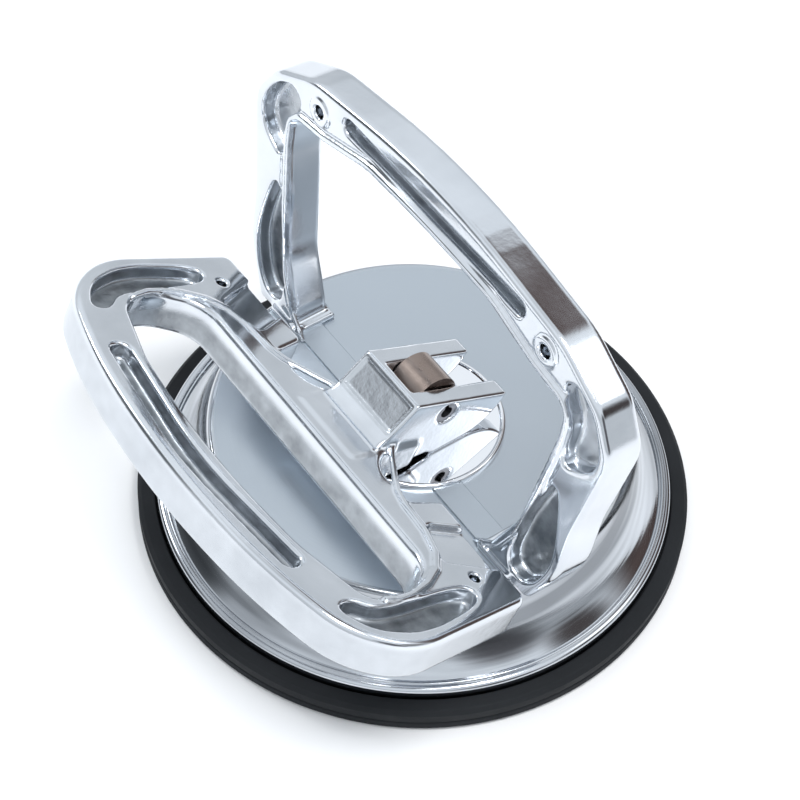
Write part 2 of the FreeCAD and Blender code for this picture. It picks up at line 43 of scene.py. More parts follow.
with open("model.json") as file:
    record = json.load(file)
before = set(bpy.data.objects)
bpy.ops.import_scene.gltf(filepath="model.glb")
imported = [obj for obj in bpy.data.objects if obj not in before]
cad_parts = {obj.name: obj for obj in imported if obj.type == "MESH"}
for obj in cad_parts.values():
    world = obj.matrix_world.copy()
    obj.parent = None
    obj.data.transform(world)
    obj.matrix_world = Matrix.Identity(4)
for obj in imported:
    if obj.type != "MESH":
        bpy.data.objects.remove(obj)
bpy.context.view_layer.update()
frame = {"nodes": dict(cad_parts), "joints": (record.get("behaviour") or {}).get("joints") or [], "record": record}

MM = 0.001
FAR = 1e9
TINY = 1e-6

# ---- sizes shared by several pieces, in millimetres ----------------------------------
DISC_TOP_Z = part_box("wear_disc")[0].z / MM
PIN_Z = frame["joints"][1]["pos_m"][2] / MM
PIN_R = 2.5
CAM_LOW = 11.1          # from the pin down to the cam's low flat
CAM_LIFT = frame["joints"][0]["range_m"][1] / MM
SWING = math.radians(frame["joints"][1]["range_deg"][1])
CAM_RATE = CAM_LIFT / SWING
FORK_HALF = 9.0
FORK_SLOT = 4.5
WEAR_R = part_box("wear_disc")[1].x / MM
TOP_R = 43.4            # flat part of the disc's top


# ---- outlines and distance fields ----------------------------------------------------

def arc_points(start, nearest, end, steps):
    """Points along the arc through three points of a plane."""
    (ax, ay), (bx, by), (cx, cy) = start, nearest, end
    d = 2 * (ax * (by - cy) + bx * (cy - ay) + cx * (ay - by))
    a2, b2, c2 = ax * ax + ay * ay, bx * bx + by * by, cx * cx + cy * cy
    ox = (a2 * (by - cy) + b2 * (cy - ay) + c2 * (ay - by)) / d
    oy = (a2 * (cx - bx) + b2 * (ax - cx) + c2 * (bx - ax)) / d
    radius = math.hypot(ax - ox, ay - oy)
    first = math.atan2(ay - oy, ax - ox)
    last = math.atan2(cy - oy, cx - ox)
    turn = (last - first + math.pi) % (2 * math.pi) - math.pi
    middle = math.atan2(by - oy, bx - ox)
    if abs((middle - first + math.pi) % (2 * math.pi) - math.pi) > abs(turn):
        turn -= math.copysign(2 * math.pi, turn)
    angles = [first + turn * i / steps for i in range(steps + 1)]
    return [(ox + radius * math.cos(t), oy + radius * math.sin(t)) for t in angles]


def rounded(corners, steps=10):
    """Closed outline from (x, y, radius) corners, as an array of points."""
    points = []
    count = len(corners)
    for i, (x, y, radius) in enumerate(corners):
        here = Vector((x, y))
        if radius == 0:
            points.append((x, y))
            continue
        to_last = (Vector(corners[i - 1][:2]) - here).normalized()
        to_next = (Vector(corners[(i + 1) % count][:2]) - here).normalized()
        half = to_last.angle(to_next) / 2
        setback = radius / math.tan(half)
        inward = (to_last + to_next).normalized()
        nearest = here + inward * (radius / math.sin(half) - radius)
        points += arc_points(here + to_last * setback, nearest, here + to_next * setback, steps)
    return np.array(points)


FLOW_CUT = 0.22         # share of each side that one round of smoothing cuts off


def flowing(corners, rounds=3):
    """Closed smooth outline that follows its corners, by cutting them off
    again and again."""
    points = np.array(corners, float)
    for _ in range(rounds):
        after = np.roll(points, -1, axis=0)
        first = points * (1 - FLOW_CUT) + after * FLOW_CUT
        second = points * FLOW_CUT + after * (1 - FLOW_CUT)
        points = np.stack([first, second], axis=1).reshape(-1, 2)
    return points


def mirrored(right):
    """Whole outline from the corners of its right half."""
    return right + [(-x, y, radius) for x, y, radius in reversed(right) if x > 0]


def outline_distance(x, y, outline):
    """Signed distance to a closed outline, negative inside."""
    best = np.full(np.broadcast(x, y).shape, FAR, np.float32)
    inside = np.zeros(best.shape, bool)
    for (ax, ay), (bx, by) in zip(outline, np.roll(outline, -1, axis=0)):
        ex, ey = bx - ax, by - ay
        length = ex * ex + ey * ey
        if length < TINY ** 2:
            continue
        t = np.clip(((x - ax) * ex + (y - ay) * ey) / length, 0, 1)
        best = np.minimum(best, (x - ax - t * ex) ** 2 + (y - ay - t * ey) ** 2)
        if ay != by:
            crosses = ((y >= ay) != (y >= by)) & (x < ax + (y - ay) * ex / ey)
            inside ^= crosses
    return np.where(inside, -1, 1) * np.sqrt(best)


def join(a, b, soft):
    """Union with a fillet of about the given size."""
    h = np.maximum(soft - np.abs(a - b), 0) / soft
    return np.minimum(a, b) - h * h * soft / 4


def meet(a, b, soft):
    """Intersection with a rounded edge."""
    return -join(-a, -b, soft)


def carve(a, tool, soft):
    """What is left of a body after a tool has cut it."""
    return meet(a, -tool, soft)


def thick(plane, depth, front, back, edge):
    """A plane outline as a plate between two depths, with rounded edges."""
    across = np.abs(depth - (front + back) / 2) - (back - front) / 2 + edge
    side = plane + edge
    outside = np.sqrt(np.maximum(side, 0) ** 2 + np.maximum(across, 0) ** 2)
    return outside + np.minimum(np.maximum(side, across), 0) - edge


def span(low, high, step):
    """Places along one axis of a field, with a margin at both ends."""
    return np.arange(low - 2 * step, high + 3 * step, step, dtype=np.float32)


def at_points(grid, spots):
    """Trilinear values of a grid at fractional indices."""
    base = np.minimum(np.floor(spots).astype(int), np.array(grid.shape) - 2)
    f = spots - base
    total = 0
    for dx in (0, 1):
        for dy in (0, 1):
            for dz in (0, 1):
                weight = np.abs(1 - dx - f[:, 0]) * np.abs(1 - dy - f[:, 1])
                weight = weight * np.abs(1 - dz - f[:, 2])
                corner = grid[base[:, 0] + dx, base[:, 1] + dy, base[:, 2] + dz]
                total = total + weight * corner
    return total


def skin(field):
    """Points (in grid steps), quads and normals of the surface where a field
    changes sign, one point for each cell that it passes through."""
    cells = tuple(n - 1 for n in field.shape)
    total = np.zeros(cells + (3,), np.float32)
    count = np.zeros(cells, np.float32)
    solid = field < 0
    quads = []
    for axis in range(3):
        a = np.take(field, range(0, field.shape[axis] - 1), axis)
        b = np.take(field, range(1, field.shape[axis]), axis)
        sa = np.take(solid, range(0, field.shape[axis] - 1), axis)
        sb = np.take(solid, range(1, field.shape[axis]), axis)
        crosses = sa != sb
        t = np.where(crosses, a / np.where(crosses, a - b, 1), 0)
        others = [k for k in range(3) if k != axis]
        for da in (0, 1):
            for db in (0, 1):
                window = [slice(None)] * 3
                window[others[0]] = slice(da, field.shape[others[0]] - 1 + da)
                window[others[1]] = slice(db, field.shape[others[1]] - 1 + db)
                hit = crosses[tuple(window)]
                count += hit
                total[..., axis] += t[tuple(window)]
                total[..., others[0]] += hit * da
                total[..., others[1]] += hit * db
        where = np.argwhere(crosses)
        low = (where[:, others[0]] > 0) & (where[:, others[1]] > 0)
        high = (where[:, others[0]] < cells[others[0]]) & (where[:, others[1]] < cells[others[1]])
        where = where[low & high]
        ring = []
        for da, db in ((1, 1), (0, 1), (0, 0), (1, 0)):
            cell = where.copy()
            cell[:, others[0]] -= da
            cell[:, others[1]] -= db
            ring.append(np.ravel_multi_index(cell.T, cells))
        quad = np.stack(ring, 1)
        outward = sa[tuple(where.T)] ^ (axis == 1)
        quad[~outward] = quad[~outward][:, ::-1]
        quads.append(quad)
    used = np.flatnonzero(count.ravel() > 0)
    index = np.full(count.size, -1)
    index[used] = np.arange(used.size)
    place = np.stack(np.unravel_index(used, cells), 1) + (
        total.reshape(-1, 3)[used] / count.ravel()[used, None]
    )
    slope = [at_points(g, place) for g in np.gradient(field)]
    normals = np.stack(slope, 1)
    normals /= np.linalg.norm(normals, axis=1)[:, None] + 1e-9
    return place, index[np.concatenate(quads)], normals


def mesh_object(name, points, faces, normals=None):
    """Smooth mesh from points in millimetres."""
    mesh = bpy.data.meshes.new(name)
    mesh.from_pydata((np.asarray(points) * MM).tolist(), [], [list(map(int, f)) for f in faces])
    mesh.polygons.foreach_set("use_smooth", [True] * len(mesh.polygons))
    if normals is not None:
        mesh.normals_split_custom_set_from_vertices(np.asarray(normals).tolist())
    obj = bpy.data.objects.new(name, mesh)
    bpy.context.scene.collection.objects.link(obj)
    return obj


def cast_object(name, field, axes, to_row, shade=None):
    """Object whose surface is where the field over three axes is zero.
    to_row turns field coordinates into the part's, and shade is a second field
    kept on the points, painted shade and cast skin together: 0 on the polished faces and 1 where the colour is
    darkest."""
    steps, quads, normals = skin(field)
    corner = np.array([axis[0] for axis in axes])
    size = np.array([axis[1] - axis[0] for axis in axes])
    local = corner + steps * size
    turn = np.array(to_row.to_3x3())
    points = local @ turn.T + np.array(to_row.translation)
    obj = mesh_object(name, points, quads, normals @ turn.T)
    if shade is not None:
        # the pocket attribute carries painted shade and cast skin to the casting's material
        layer = obj.data.attributes.new("pocket", "FLOAT", "POINT")
        layer.data.foreach_set("value", at_points(shade, steps).astype(np.float32))
    return obj


def smooth_step(value, low, high):
    """0 up to low and 1 from high on, or the other way round if high is less."""
    t = np.clip((value - low) / (high - low), 0, 1)
    return t * t * (3 - 2 * t)


# ---- turned pieces -------------------------------------------------------------------

TURN_STEPS = 256
SHARP = math.radians(30)        # angle between faces from which an edge is sharp
SIDE_SHARE = 0.45       # most of a side that one rounding may use
NEARLY_FLAT = math.radians(80)


def turned(name, profile, sharp=SHARP):
    """Closed (radius, z) profile in millimetres, turned about the axis."""
    points = []
    faces = []
    rows = []
    for radius, z in profile:
        if radius < TINY:
            rows.append([len(points)] * TURN_STEPS)
            points.append((0, 0, z))
            continue
        rows.append(list(range(len(points), len(points) + TURN_STEPS)))
        for i in range(TURN_STEPS):
            t = 2 * math.pi * i / TURN_STEPS
            points.append((radius * math.cos(t), radius * math.sin(t), z))
    closed = profile[0][0] > TINY
    last = len(rows) if closed else len(rows) - 1
    for k in range(last):
        a, b = rows[k], rows[(k + 1) % len(rows)]
        for i in range(TURN_STEPS):
            j = (i + 1) % TURN_STEPS
            face = [a[i], a[j], b[j], b[i]]
            face = [v for n, v in enumerate(face) if v not in face[:n]]
            if len(face) > 2:
                faces.append(face)
    obj = mesh_object(name, points, faces)
    obj.data.set_sharp_from_angle(angle=sharp)
    return obj


def soften(profile, radius, steps=4):
    """Rounds the corners of a (radius, z) profile that is listed once round."""
    out = []
    count = len(profile)
    for i, (x, z) in enumerate(profile):
        here = Vector((x, z))
        last = Vector(profile[i - 1]) - here
        after = Vector(profile[(i + 1) % count]) - here
        if x < TINY or last.length < TINY or after.length < TINY:
            out.append((x, z))
            continue
        half = last.angle(after) / 2
        if half > NEARLY_FLAT:
            out.append((x, z))
            continue
        room = min(last.length * SIDE_SHARE, after.length * SIDE_SHARE)
        setback = min(radius / math.tan(half), room)
        local = setback * math.tan(half)
        inward = (last.normalized() + after.normalized()).normalized()
        nearest = here + inward * (local / math.sin(half) - local)
        start = here + last.normalized() * setback
        end = here + after.normalized() * setback
        out += arc_points(start, nearest, end, steps)
    return out


# ---- castings ------------------------------------------------------------------------

GRAIN = 0.42            # step of the castings' fields
CAST_EDGE = 1.2
POCKET_D = 3.8
POCKET_ROUND = 1.4
POCKET_EDGE = 0.8
POCKET_FADE = (-0.3, 0.8)       # from polished to cast skin and painted shade, inwards from the edge
FACE_FADE = (1.0, -1.2)         # the same across the plate, outwards from its faces
RIM_FADE = (1.2, 0.3)           # the same along an outline's walls

# lever ring: U across, V away from the pin, D depth below the face
LEVER_TILT = math.radians(24.5)
LEVER_FACE = 7.0        # from the pin down to the face
LEVER_T = 9.4
LEVER_BASE_V = 11.0
LEVER_NOTCH_V = 19.0
LEVER_BAR_V = 27.3
LEVER_FOOT_U = 53.5
LEVER_SIDE_U = 57.6
LEVER_SIDE_V = 43.5
LEVER_TOP_V = 65.0
LEVER_BAR_W = 10.8
NECK_U = 9.5
NOTCH_U = 23.0
FOOT_HOLE = (45.2, 18.8)
FOOT_HOLE_R = 1.1
FOOT_HOLE_D = 4.5
FOOT_HOLE_EDGE = 0.5
WEB_D = 1.8
WEB_ROUND = 0.9
WEB_EDGE = 0.7

# neck, fork and cam: places are y and z from the pin, or V and D of the ring
NECK_BLOCK = (-15.2, 2.2)
NECK_RIDGE = (-7.8, 7.6)
NECK_ROOT_V = 17.5
NECK_RISE = 0.2
NECK_LAP = 0.5          # how deep the neck's root lies in the ring's faces
NECK_CLEAR = 1.2
NECK_UNDER_D = 2.5      # slope under the neck, from the ring's back to the heel
NECK_FILLET = 1.8
NOSE_STEPS = 16
CAM_TIP = 0.4
CAM_HEEL_Y = -3.5
CAM_HEEL_SLOPE = 1.5
SLOT_ROOT_Y = -6.3
SLOT_EDGE = 0.5
FORK_EDGE = 0.4
FORK_FROM_V = -18.0     # how far the fork reaches past the ring's own box
FORK_FROM_D = -17.0
PIN_EDGE = 0.3
PANEL_DEPTH = 0.4
PANEL_BORDER = 1.1
PANEL_EDGE = 0.2

# Outlines are the (U, V, rounding) corners of a right half. The kidneys and the
# leaf are (U, V) corners of a flowing outline, and the rib is a line of (U, V).
LEVER_OUTLINE = [
    (NECK_U, LEVER_BASE_V - 6.0, 0), (NECK_U, LEVER_NOTCH_V, 7.5),
    (NOTCH_U, LEVER_NOTCH_V, 1.5), (NOTCH_U + 2.0, LEVER_BASE_V, 1.5),
    (LEVER_FOOT_U, LEVER_BASE_V, 2.5), (LEVER_SIDE_U, LEVER_SIDE_V, 18.0),
    (LEVER_SIDE_U - 7.6, LEVER_TOP_V - 9.5, 20.0),
    (LEVER_SIDE_U - 27.6, LEVER_TOP_V - 2.8, 115.0), (0, LEVER_TOP_V, 160.0),
]
LEVER_OPENING = [
    (LEVER_SIDE_U - 18.1, LEVER_BAR_V, 8.0), (LEVER_SIDE_U - 12.6, LEVER_SIDE_V - 6.0, 12.0),
    (LEVER_SIDE_U - 14.1, LEVER_SIDE_V + 2.0, 6.0),
    (LEVER_SIDE_U - 30.6, LEVER_TOP_V - 14.2, 30.0), (0, LEVER_TOP_V - LEVER_BAR_W, 150.0),
]
LEVER_SLOT = [
    (0, LEVER_TOP_V - 8.0, 80.0), (32.0, LEVER_TOP_V - 12.2, 2.2),
    (32.0, LEVER_TOP_V - 7.6, 2.2), (0, LEVER_TOP_V - 3.4, 80.0),
]
LEVER_KIDNEY = [
    (LEVER_SIDE_U - 11.7, 22.6), (LEVER_SIDE_U - 6.8, 21.4), (LEVER_SIDE_U - 3.4, 39.0),
    (LEVER_SIDE_U - 7.0, 49.6), (LEVER_SIDE_U - 14.0, 54.0), (LEVER_SIDE_U - 15.2, 50.2),
    (LEVER_SIDE_U - 10.7, 45.0),
]
LEVER_WEB = [
    (34.3, LEVER_BASE_V - 3.0, 0), (46.3, LEVER_BASE_V - 3.0, 0),
    (39.6, LEVER_BAR_V - 4.7, 1.5), (29.6, LEVER_BAR_V - 7.7, 1.5),
]
LEVER_RIB = [
    (9.0, 12.4), (17.4, 18.1), (20.6, 19.8), (24.1, 20.8), (31.3, 21.3), (37.0, 23.0),
    (41.0, 26.2), (43.6, 30.6), (45.1, 35.6), (45.4, 39.0), (44.6, 42.6),
]
RIB_RISE = 0.5
RIB_R = 0.7
RIB_FILLET = 0.7
WALL_SHADE = 0.8         # how much painted shade the opening's walls get
WALL_FADE = (2.2, 4.4)  # over which depth below the face
WALL_BACK_FADE = (-0.5, -1.4)
RIM_SHADE = 0.3          # and how much painted shade the outer walls get
RIM_FACE_FADE = (0.8, 2.4)
PANEL_DULL = 0.3
PANEL_FADE = (0.9, 0.3)


def sink(body, plane, front, back, depth):
    """Carves an outline into both faces of a plate between two depths."""
    for wall in (front + POCKET_D - depth, depth - (back - POCKET_D)):
        body = carve(body, meet(plane, -wall, POCKET_ROUND), POCKET_EDGE)
    return body


def line_distance(x, y, points):
    """Distance to an open line of points."""
    best = np.full(np.broadcast(x, y).shape, FAR, np.float32)
    for (ax, ay), (bx, by) in zip(points, points[1:]):
        ex, ey = bx - ax, by - ay
        t = np.clip(((x - ax) * ex + (y - ay) * ey) / (ex * ex + ey * ey), 0, 1)
        best = np.minimum(best, np.hypot(x - ax - t * ex, y - ay - t * ey))
    return best


def from_pin(v, depth):
    """y and z from the pin of what lies in the ring's plane."""
    y = -v * math.cos(LEVER_TILT) - depth * math.sin(LEVER_TILT)
    z = v * math.sin(LEVER_TILT) - depth * math.cos(LEVER_TILT)
    return y, z


def nose_point(turn):
    """Point of the involute that lifts the pin by the same for every degree."""
    height = CAM_LOW + CAM_RATE * turn
    y = CAM_RATE * math.cos(turn) + height * math.sin(turn)
    z = CAM_RATE * math.sin(turn) - height * math.cos(turn)
    return y, z


def fork_outline():
    """Side view of neck and prongs, y and z from the pin."""
    nose = [nose_point(SWING * i / NOSE_STEPS) for i in range(NOSE_STEPS + 1)]
    end_y, end_z = nose[-1]
    tip = (end_y + CAM_TIP * math.cos(SWING), end_z + CAM_TIP * math.sin(SWING))
    under = LEVER_FACE + LEVER_T
    inside_v = (LEVER_NOTCH_V + LEVER_BAR_V) / 2
    rest = [
        tip, NECK_RIDGE, NECK_BLOCK,
        from_pin(NECK_ROOT_V, LEVER_FACE + NECK_RISE),
        from_pin(inside_v, LEVER_FACE + NECK_LAP),
        from_pin(inside_v, under - NECK_LAP), from_pin(LEVER_BASE_V, under - NECK_UNDER_D),
        (CAM_HEEL_Y - CAM_HEEL_SLOPE, -CAM_LOW + NECK_CLEAR), (CAM_HEEL_Y, -CAM_LOW),
    ]
    return np.array(nose + rest)


def half_distance(x, y, right):
    """Signed distance to the outline of which the right half's corners are given."""
    return outline_distance(x, y, rounded(mirrored(right)))


def pocket_shade(pocket, from_middle, thickness):
    """Cast skin and painted shade of the pockets, which end before the plate's faces."""
    face = thickness / 2
    fade = smooth_step(np.abs(from_middle), face + FACE_FADE[0], face + FACE_FADE[1])
    return pocket * fade


def lever_ring(plan_u, plan_v, d, plan, pockets):
    """Grip ring and feet: a plate with pockets, webs, a rib and blind holes."""
    side_u = np.abs(plan_u)
    front, back = LEVER_FACE, LEVER_FACE + LEVER_T
    body = thick(plan[:, :, None], d, front, back, CAST_EDGE)
    body = sink(body, pockets[:, :, None], front, back, d)
    web = outline_distance(side_u, plan_v, rounded(LEVER_WEB))[:, :, None]
    body = carve(body, meet(web, d - front - WEB_D, WEB_ROUND), WEB_EDGE)
    rib = np.hypot(line_distance(side_u, plan_v, LEVER_RIB)[:, :, None], d - front)
    body = join(body, np.maximum(rib - RIB_R, front - RIB_RISE - d), RIB_FILLET)
    hole = np.hypot(side_u - FOOT_HOLE[0], plan_v - FOOT_HOLE[1])[:, :, None]
    return carve(body, np.maximum(hole - FOOT_HOLE_R, d - front - FOOT_HOLE_D), FOOT_HOLE_EDGE)


def panel_field(u, y, z):
    """Box that sinks the bare panel into the face between block and ridge."""
    low, high = Vector(NECK_BLOCK), Vector(NECK_RIDGE)
    along = (high - low).normalized()
    up = Vector((-along.y, along.x))
    length = (high - low).length
    s = (y - low.x) * along.x + (z - low.y) * along.y
    h = (y - low.x) * up.x + (z - low.y) * up.y
    across = np.abs(s - length / 2) - length / 2 + PANEL_BORDER
    side = np.abs(u)[:, None, None] - FORK_HALF + PANEL_BORDER
    return np.maximum(np.maximum(across[None], side), (-h - PANEL_DEPTH)[None])


def lever_fork(body, u, y, z):
    """Joins neck and prongs to the ring, which is cut away over the disc."""
    wide = np.abs(u)[:, None, None]
    under = np.maximum(z + CAM_LOW - NECK_CLEAR, -WEAR_R - y)[None]
    body = np.maximum(body, -np.maximum(under, wide - NOTCH_U))
    side = outline_distance(y, z, fork_outline())[None]
    fork = thick(side, u[:, None, None], -FORK_HALF, FORK_HALF, FORK_EDGE)
    fork = carve(fork, np.maximum(wide - FORK_SLOT, SLOT_ROOT_Y - y[None]), SLOT_EDGE)
    body = join(body, fork, NECK_FILLET)
    body = carve(body, np.hypot(y, z)[None] - PIN_R, PIN_EDGE)
    return carve(body, panel_field(u, y, z), PANEL_EDGE)


def lever_shade(d, outer, opening, pockets, panel):
    """Where the lever's colour darkens: cast skin and painted shade in the pockets, painted shade on the walls,
    cast skin on the panel.
    """
    front, back = LEVER_FACE, LEVER_FACE + LEVER_T
    pocket = smooth_step(-pockets, *POCKET_FADE)[:, :, None]
    shade = pocket_shade(pocket, d - (front + back) / 2, LEVER_T)
    # painted shade down the opening's walls, from a little below the face to just short of the back edge
    wall = smooth_step(np.abs(opening), *RIM_FADE)[:, :, None]
    wall = wall * smooth_step(d, front + WALL_FADE[0], front + WALL_FADE[1])
    wall = wall * smooth_step(d, back + WALL_BACK_FADE[0], back + WALL_BACK_FADE[1])
    shade = np.maximum(shade, WALL_SHADE * wall)
    # painted shade on the outer walls, from a little below the face down
    rim = smooth_step(np.abs(outer), *RIM_FADE)[:, :, None]
    rim = rim * smooth_step(d, front + RIM_FACE_FADE[0], front + RIM_FACE_FADE[1])
    shade = np.maximum(shade, RIM_SHADE * rim)
    return np.maximum(shade, PANEL_DULL * smooth_step(panel, *PANEL_FADE))


def operating_lever():
    """The lever, in its own plane: u across, v away from the pin, and depth
    from the pin down through the ring."""
    u = span(-LEVER_SIDE_U, LEVER_SIDE_U, GRAIN)
    v = span(FORK_FROM_V, LEVER_TOP_V, GRAIN)
    depth = span(FORK_FROM_D, LEVER_FACE + LEVER_T, GRAIN)
    plan_u, plan_v = u[:, None], v[None, :]
    d = depth[None, None, :]
    outer = half_distance(plan_u, plan_v, LEVER_OUTLINE)
    opening = half_distance(plan_u, plan_v, LEVER_OPENING)
    pockets = np.minimum(
        half_distance(plan_u, plan_v, LEVER_SLOT),
        outline_distance(np.abs(plan_u), plan_v, flowing(LEVER_KIDNEY)),
    )
    y, z = from_pin(v[:, None], depth[None, :])
    body = lever_ring(plan_u, plan_v, d, np.maximum(outer, -opening), pockets)
    body = lever_fork(body, u, y, z)
    shade = lever_shade(d, outer, opening, pockets, panel_field(u, y, z))
    cos, sin = math.cos(LEVER_TILT), math.sin(LEVER_TILT)
    to_row = Matrix((
        (1, 0, 0, 0),
        (0, -cos, -sin, 0),
        (0, sin, -cos, PIN_Z),
        (0, 0, 0, 1),
    ))
    return cast_object("lever_casting", body, (u, v, depth), to_row, shade)


# upright handle: U across, V up along its lean, D depth behind its front face
HANDLE_LEAN = math.radians(6.0)
HANDLE_FRONT_Y = -8.5
HANDLE_T = 8.8
HANDLE_FOOT_U = 48.5
HANDLE_WAIST_U = 54.2
HANDLE_SIDE_U = 58.4
HANDLE_SIDE_V = 51.5
HANDLE_TOP_V = 73.5
HANDLE_BAR_W = 12.6
HANDLE_LEG_W = 13.5
HANDLE_INSTEP_U = 35.5
HANDLE_SLOT = (27.0, 65.0, 4.0)         # half length, height and width
SLOT_END = 0.98         # its ends' rounding, as a share of half its width
HANDLE_BOSS = (36.5, 62.1, 3.2)         # across, height and radius
BOSS_HEIGHT = 0.5
BOSS_ROOT_D = 2.0
BOSS_EDGE = 0.4
BOSS_FILLET = 0.5
BOSS_HOLE_R = 1.5
BOSS_HOLE_D = 4.0
HANDLE_RIM = (1.1, 2.4)         # bead and groove, from the opening's edge
HANDLE_RIM_V = 5.0              # and how far up the leg they start
BEAD_R = 0.7
BEAD_RISE = 0.45
BEAD_FILLET = 0.4
GROOVE_R = 0.5
GROOVE_EDGE = 0.3
# share of the pockets' cast skin and painted shade that the kidneys get
KIDNEY_SHADE = 0.55
PLINTH_U = 33.0
PLINTH_H = 1.6
PLINTH_LEDGE = 0.8
PLINTH_EDGE = 0.5
PLINTH_FILLET = 1.2
HANDLE_FROM_D = -2.0    # how far boss and plinth reach past the plate's own box
HANDLE_TO_D = HANDLE_T + 3.0
HANDLE_FROM_V = -3.0

HANDLE_OUTLINE = [
    (HANDLE_FOOT_U - 2.0, -4.0, 0), (HANDLE_WAIST_U, 13.0, 22.0),
    (HANDLE_WAIST_U + 0.4, 27.0, 40.0), (HANDLE_SIDE_U, HANDLE_SIDE_V, 9.0),
    (HANDLE_SIDE_U - 5.9, HANDLE_TOP_V - 12.9, 8.0),
    (HANDLE_SIDE_U - 18.4, HANDLE_TOP_V - 6.2, 20.0), (0, HANDLE_TOP_V, 150.0),
]
HANDLE_OPENING = [
    (HANDLE_INSTEP_U - 1.0, -6.0, 0), (HANDLE_INSTEP_U, 5.0, 8.0),
    (HANDLE_WAIST_U - HANDLE_LEG_W, 17.0, 20.0), (HANDLE_SIDE_U - 13.8, 46.0, 40.0),
    (HANDLE_SIDE_U - 13.7, 54.4, 3.5), (HANDLE_SIDE_U - 24.0, 55.9, 8.0),
    (20.0, HANDLE_TOP_V - HANDLE_BAR_W - 0.9, 20.0), (0, HANDLE_TOP_V - HANDLE_BAR_W, 150.0),
]
HANDLE_KIDNEY = [
    (HANDLE_SIDE_U - 11.8, 40.2), (HANDLE_SIDE_U - 4.1, 44.6), (HANDLE_SIDE_U - 2.9, 50.8),
    (HANDLE_SIDE_U - 6.6, 58.2), (HANDLE_SIDE_U - 12.2, 61.6), (HANDLE_SIDE_U - 15.4, 59.6),
    (HANDLE_SIDE_U - 14.8, 56.4), (HANDLE_SIDE_U - 11.2, 52.0),
]
HANDLE_LEAF = [
    (HANDLE_WAIST_U - 8.6, 2.0), (HANDLE_WAIST_U - 4.7, 6.5), (HANDLE_WAIST_U - 2.1, 17.5),
    (HANDLE_WAIST_U - 6.6, 38.0), (HANDLE_WAIST_U - 11.9, 21.0), (HANDLE_WAIST_U - 14.2, 4.0),
]


def handle_plate(plan_u, plan_v, d, outer, opening, pockets):
    """The handle's plate with its pockets, the rim along the opening, and bosses."""
    body = thick(np.maximum(outer, -opening)[:, None, :], d, 0, HANDLE_T, CAST_EDGE)
    rim = np.where(plan_v > HANDLE_RIM_V, opening, opening + HANDLE_RIM_V - plan_v)[:, None, :]
    groove = np.hypot(rim - HANDLE_RIM[1], d)
    body = carve(body, groove - GROOVE_R, GROOVE_EDGE)
    bead = np.hypot(rim - HANDLE_RIM[0], d)
    body = join(body, np.maximum(bead - BEAD_R, -BEAD_RISE - d), BEAD_FILLET)
    body = sink(body, pockets[:, None, :], 0, HANDLE_T, d)
    to_boss = np.hypot(np.abs(plan_u) - HANDLE_BOSS[0], plan_v - HANDLE_BOSS[1])[:, None, :]
    boss = thick(to_boss - HANDLE_BOSS[2], d, -BOSS_HEIGHT, BOSS_ROOT_D, BOSS_EDGE)
    body = join(body, boss, BOSS_FILLET)
    return carve(body, np.maximum(to_boss - BOSS_HOLE_R, d - BOSS_HOLE_D), BOSS_EDGE)


def handle_plinths(body, u, y, z):
    """Joins the two feet's plinths to the plate and cuts all off at the disc."""
    middle_y = HANDLE_FRONT_Y + HANDLE_T / 2
    half_y = HANDLE_T / 2 + PLINTH_LEDGE
    ledge = np.maximum(np.abs(y - middle_y)[None] - half_y, PLINTH_U - np.abs(u)[:, None, None])
    ledge = np.maximum(ledge, np.hypot(u[:, None, None], y[None]) - TOP_R)
    body = join(body, meet(ledge, (z - PLINTH_H)[None], PLINTH_EDGE), PLINTH_FILLET)
    return np.maximum(body, -z[None])


def fixed_handle():
    """The upright handle, in its own plane: u across, v up along its lean, and
    depth from its front face back."""
    u = span(-HANDLE_SIDE_U, HANDLE_SIDE_U, GRAIN)
    depth = span(HANDLE_FROM_D, HANDLE_TO_D, GRAIN)
    v = span(HANDLE_FROM_V, HANDLE_TOP_V, GRAIN)
    plan_u, plan_v = u[:, None], v[None, :]
    side_u = np.abs(plan_u)
    d = depth[None, :, None]
    outer = half_distance(plan_u, plan_v, HANDLE_OUTLINE)
    opening = half_distance(plan_u, plan_v, HANDLE_OPENING)
    half, slot_v, width = HANDLE_SLOT
    r = width / 2
    slot = [(half + r, slot_v - r, r * SLOT_END), (half + r, slot_v + r, r * SLOT_END)]
    kidney = outline_distance(side_u, plan_v, flowing(HANDLE_KIDNEY))
    pockets = np.minimum(
        half_distance(plan_u, plan_v, slot),
        outline_distance(side_u, plan_v, flowing(HANDLE_LEAF)),
    )
    cos, sin = math.cos(HANDLE_LEAN), math.sin(HANDLE_LEAN)
    y = depth[:, None] * cos + v[None, :] * sin + HANDLE_FRONT_Y
    z = -depth[:, None] * sin + v[None, :] * cos
    body = handle_plate(plan_u, plan_v, d, outer, opening, np.minimum(pockets, kidney))
    body = handle_plinths(body, u, y, z)
    # cast skin and painted shade in the pockets, weaker in the kidneys
    pocket = np.maximum(
        smooth_step(-pockets, *POCKET_FADE), KIDNEY_SHADE * smooth_step(-kidney, *POCKET_FADE)
    )
    shade = pocket_shade(pocket[:, None, :], d - HANDLE_T / 2, HANDLE_T)
    to_row = Matrix((
        (1, 0, 0, 0),
        (0, cos, sin, HANDLE_FRONT_Y),
        (0, -sin, cos, DISC_TOP_Z),
        (0, 0, 0, 1),
    ))
    return cast_object("handle_casting", body, (u, depth, v), to_row, shade)


# ---- disc, pad, wear disc, spring ----------------------------------------------------

